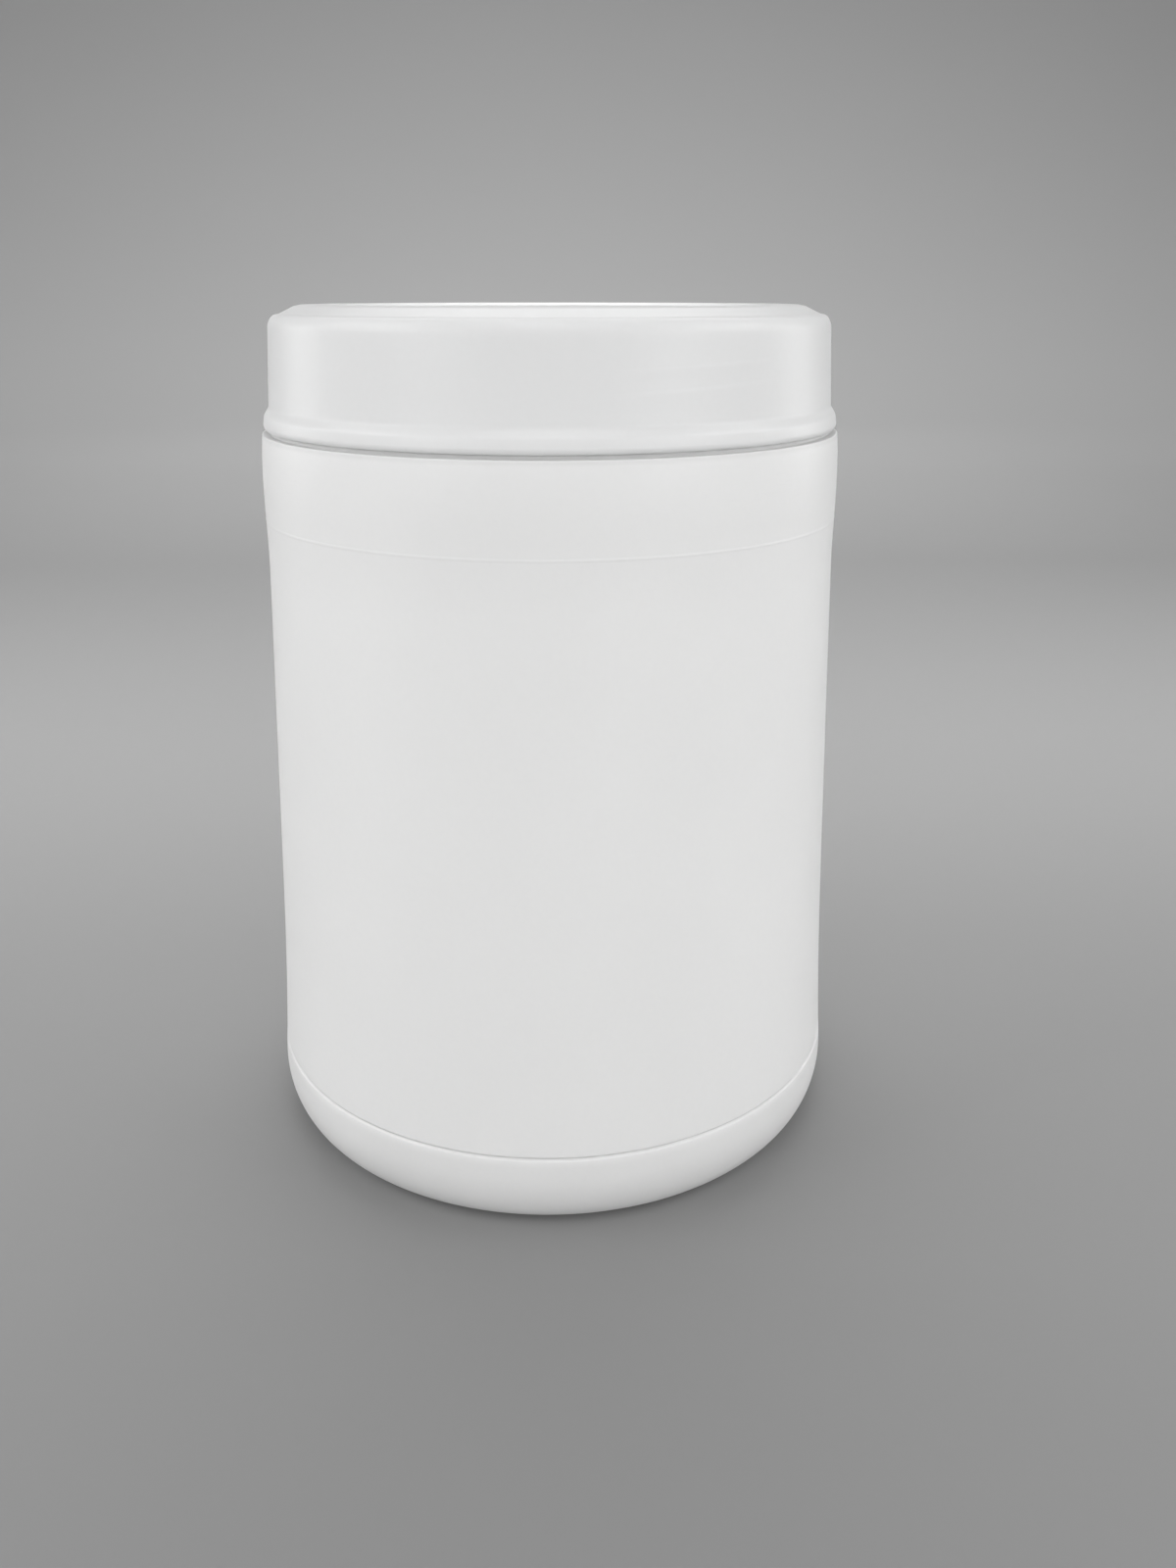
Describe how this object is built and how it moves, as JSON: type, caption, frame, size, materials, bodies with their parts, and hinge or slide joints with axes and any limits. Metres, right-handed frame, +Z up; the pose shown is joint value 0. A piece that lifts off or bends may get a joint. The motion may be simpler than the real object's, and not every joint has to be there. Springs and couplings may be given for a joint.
{
  "type": "plastic jar",
  "caption": "Shut wide-mouth plastic jar with a plain screw lid, a bare recessed label panel and a rounded heel.",
  "frame": {"origin": "centre of the standing ring, on the surface that the jar stands on", "axes": "+Z up, along the jar's axis towards the lid; +X and +Y are alike, because the jar is round"},
  "size_m": [0.1, 0.1, 0.1442],
  "materials": {
    "jar_plastic": "satin, blow-moulded white polyethylene with a faint unevenness",
    "lid_plastic": "satin, injection-moulded white polypropylene, slightly smoother and a little darker than the jar"
  },
  "bodies": {
    "root": {"jar_body": "jar_plastic", "lid": "lid_plastic"}
  },
  "joints": []
}
